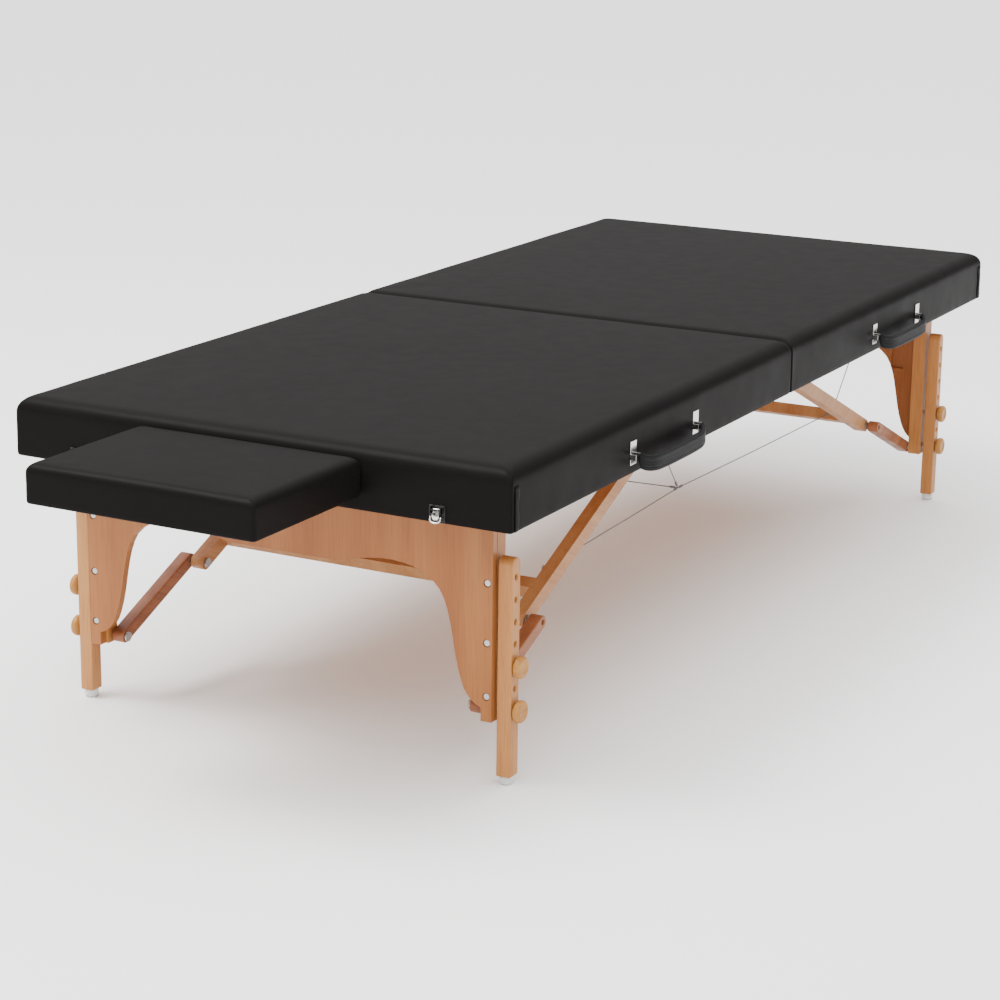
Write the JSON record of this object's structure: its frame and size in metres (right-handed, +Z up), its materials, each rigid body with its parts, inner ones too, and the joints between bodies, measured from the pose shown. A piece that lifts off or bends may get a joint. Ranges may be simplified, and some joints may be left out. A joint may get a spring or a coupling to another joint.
{
  "type": "portable massage table",
  "caption": "Low folding massage table: two padded halves hinged in the middle, arched wooden end boards, braced sliding legs, steel cables and an arm shelf.",
  "frame": {"origin": "floor level, under the middle of the whole table with its shelf, handles and catches", "axes": "+X along the length, away from the arm shelf; +Y across, away from the side with the handles; +Z up"},
  "size_m": [2.116, 0.82, 0.462],
  "materials": {
    "vinyl": "semi-gloss black vinyl",
    "foam": "open-cell foam",
    "plywood": "clear satin varnish",
    "beech": "clear satin varnish",
    "brace_wood": "clear satin varnish",
    "knob_wood": "clear satin varnish",
    "nickel": "bright plated",
    "steel": "zinc plated",
    "webbing": "black woven webbing, padded",
    "foot_plastic": "translucent white"
  },
  "bodies": {
    "near_half": {"cover_near": "vinyl", "foam_near": "foam", "deck_near": "plywood", "side_rails_near": "beech", "cross_rails_near": "beech", "pivot_brackets_near": "steel", "handle_brackets_near": "nickel", "hinge_leaf_near": "steel", "latch_bases": "nickel", "cables_near": "steel"},
    "far_half": {"cover_far": "vinyl", "foam_far": "foam", "deck_far": "plywood", "side_rails_far": "beech", "cross_rails_far": "beech", "pivot_brackets_far": "steel", "handle_brackets_far": "nickel", "hinge_leaf_far": "steel", "latch_catches": "nickel", "cables_far": "steel"},
    "latch_lever_right": {"latch_lever_right": "nickel"},
    "latch_lever_left": {"latch_lever_left": "nickel"},
    "latch_bail_right": {"latch_bail_right": "nickel"},
    "latch_bail_left": {"latch_bail_left": "nickel"},
    "handle_near": {"handle_near": "webbing"},
    "handle_far": {"handle_far": "webbing"},
    "leg_frame_near": {"end_board_near": "plywood", "uprights_near": "beech", "board_screws_near": "nickel", "leg_bolts_near": "steel"},
    "leg_frame_far": {"end_board_far": "plywood", "uprights_far": "beech", "board_screws_far": "nickel", "leg_bolts_far": "steel"},
    "sliding_leg_near_right": {"leg_near_right": "beech", "foot_near_right": "foot_plastic"},
    "sliding_leg_near_left": {"leg_near_left": "beech", "foot_near_left": "foot_plastic"},
    "sliding_leg_far_right": {"leg_far_right": "beech", "foot_far_right": "foot_plastic"},
    "sliding_leg_far_left": {"leg_far_left": "beech", "foot_far_left": "foot_plastic"},
    "knob_near_right_upper": {"knob_near_right_upper": "knob_wood"},
    "knob_near_right_lower": {"knob_near_right_lower": "knob_wood"},
    "knob_near_left_upper": {"knob_near_left_upper": "knob_wood"},
    "knob_near_left_lower": {"knob_near_left_lower": "knob_wood"},
    "knob_far_right_upper": {"knob_far_right_upper": "knob_wood"},
    "knob_far_right_lower": {"knob_far_right_lower": "knob_wood"},
    "knob_far_left_upper": {"knob_far_left_upper": "knob_wood"},
    "knob_far_left_lower": {"knob_far_left_lower": "knob_wood"},
    "lower_braces_near": {"lower_braces_near": "brace_wood"},
    "lower_braces_far": {"lower_braces_far": "brace_wood"},
    "upper_braces_near": {"upper_braces_near": "beech", "knee_hardware_near": "steel"},
    "upper_braces_far": {"upper_braces_far": "beech", "knee_hardware_far": "steel"},
    "shelf": {"shelf_pad": "vinyl", "shelf_board": "plywood", "shelf_rods": "steel"}
  },
  "joints": [
    {"name": "centre_fold", "type": "hinge", "parent": "near_half", "child": "far_half", "pos_m": [0.125, 0.015, 0.3732], "axis": [0, 1, 0], "range_deg": [0, 180], "deforming": ["cables_near", "cables_far"]},
    {"name": "leg_fold_near", "type": "hinge", "parent": "near_half", "child": "leg_frame_near", "pos_m": [-0.707, 0.015, 0.399], "axis": [0, -1, 0], "range_deg": [0, 90]},
    {"name": "upper_brace_fold_near", "type": "hinge", "parent": "near_half", "child": "upper_braces_near", "pos_m": [-0.005, 0.015, 0.4045], "axis": [0, 1, 0], "range_deg": [0, 23.71]},
    {"name": "lower_brace_fold_near", "type": "hinge", "parent": "leg_frame_near", "child": "lower_braces_near", "pos_m": [-0.703, 0.015, 0.098], "axis": [0, -1, 0], "range_deg": [0, 65.82]},
    {"name": "leg_height_near_right", "type": "slide", "parent": "leg_frame_near", "child": "sliding_leg_near_right", "axis": [0, 0, -1], "range_m": [0, 0.124]},
    {"name": "knob_turn_near_right_upper", "type": "hinge", "parent": "leg_frame_near", "child": "knob_near_right_upper", "pos_m": [-0.7127, -0.3425, 0.167], "axis": [0, -1, 0], "continuous": true},
    {"name": "knob_turn_near_right_lower", "type": "hinge", "parent": "leg_frame_near", "child": "knob_near_right_lower", "pos_m": [-0.7127, -0.3425, 0.105], "axis": [0, -1, 0], "continuous": true},
    {"name": "leg_height_near_left", "type": "slide", "parent": "leg_frame_near", "child": "sliding_leg_near_left", "axis": [0, 0, -1], "range_m": [0, 0.124]},
    {"name": "knob_turn_near_left_upper", "type": "hinge", "parent": "leg_frame_near", "child": "knob_near_left_upper", "pos_m": [-0.7127, 0.3725, 0.167], "axis": [0, 1, 0], "continuous": true},
    {"name": "knob_turn_near_left_lower", "type": "hinge", "parent": "leg_frame_near", "child": "knob_near_left_lower", "pos_m": [-0.7127, 0.3725, 0.105], "axis": [0, 1, 0], "continuous": true},
    {"name": "handle_swing_near", "type": "hinge", "parent": "near_half", "child": "handle_near", "pos_m": [-0.3455, -0.386, 0.402], "axis": [-1, 0, 0], "range_deg": [0, 80]},
    {"name": "leg_fold_far", "type": "hinge", "parent": "far_half", "child": "leg_frame_far", "pos_m": [0.957, 0.015, 0.399], "axis": [0, 1, 0], "range_deg": [0, 90]},
    {"name": "upper_brace_fold_far", "type": "hinge", "parent": "far_half", "child": "upper_braces_far", "pos_m": [0.255, 0.015, 0.4045], "axis": [0, -1, 0], "range_deg": [0, 23.71]},
    {"name": "lower_brace_fold_far", "type": "hinge", "parent": "leg_frame_far", "child": "lower_braces_far", "pos_m": [0.953, 0.015, 0.098], "axis": [0, 1, 0], "range_deg": [0, 65.82]},
    {"name": "leg_height_far_right", "type": "slide", "parent": "leg_frame_far", "child": "sliding_leg_far_right", "axis": [0, 0, -1], "range_m": [0, 0.124]},
    {"name": "knob_turn_far_right_upper", "type": "hinge", "parent": "leg_frame_far", "child": "knob_far_right_upper", "pos_m": [0.9627, -0.3425, 0.167], "axis": [0, -1, 0], "continuous": true},
    {"name": "knob_turn_far_right_lower", "type": "hinge", "parent": "leg_frame_far", "child": "knob_far_right_lower", "pos_m": [0.9627, -0.3425, 0.105], "axis": [0, -1, 0], "continuous": true},
    {"name": "leg_height_far_left", "type": "slide", "parent": "leg_frame_far", "child": "sliding_leg_far_left", "axis": [0, 0, -1], "range_m": [0, 0.124]},
    {"name": "knob_turn_far_left_upper", "type": "hinge", "parent": "leg_frame_far", "child": "knob_far_left_upper", "pos_m": [0.9627, 0.3725, 0.167], "axis": [0, 1, 0], "continuous": true},
    {"name": "knob_turn_far_left_lower", "type": "hinge", "parent": "leg_frame_far", "child": "knob_far_left_lower", "pos_m": [0.9627, 0.3725, 0.105], "axis": [0, 1, 0], "continuous": true},
    {"name": "handle_swing_far", "type": "hinge", "parent": "far_half", "child": "handle_far", "pos_m": [0.5955, -0.386, 0.402], "axis": [-1, 0, 0], "range_deg": [0, 80]},
    {"name": "latch_lever_right", "type": "hinge", "parent": "near_half", "child": "latch_lever_right", "pos_m": [-0.807, -0.272, 0.395], "axis": [0, 1, 0], "range_deg": [0, 100]},
    {"name": "latch_bail_right", "type": "hinge", "parent": "latch_lever_right", "child": "latch_bail_right", "pos_m": [-0.8064, -0.272, 0.386], "axis": [0, 1, 0], "range_deg": [0, 90]},
    {"name": "latch_lever_left", "type": "hinge", "parent": "near_half", "child": "latch_lever_left", "pos_m": [-0.807, 0.302, 0.395], "axis": [0, 1, 0], "range_deg": [0, 100]},
    {"name": "latch_bail_left", "type": "hinge", "parent": "latch_lever_left", "child": "latch_bail_left", "pos_m": [-0.8064, 0.302, 0.386], "axis": [0, 1, 0], "range_deg": [0, 90]},
    {"name": "shelf_slide", "type": "slide", "parent": "near_half", "child": "shelf", "axis": [-1, 0, 0], "range_m": [0, 0.12]}
  ],
  "couplings": [
    {"joint": "leg_fold_near", "follows": "centre_fold", "ratio": 0.5},
    {"joint": "upper_brace_fold_near", "follows": "centre_fold", "ratio": 0.1317},
    {"joint": "lower_brace_fold_near", "follows": "centre_fold", "ratio": 0.36565},
    {"joint": "leg_fold_far", "follows": "centre_fold", "ratio": 0.5},
    {"joint": "upper_brace_fold_far", "follows": "centre_fold", "ratio": 0.1317},
    {"joint": "lower_brace_fold_far", "follows": "centre_fold", "ratio": 0.36565}
  ]
}
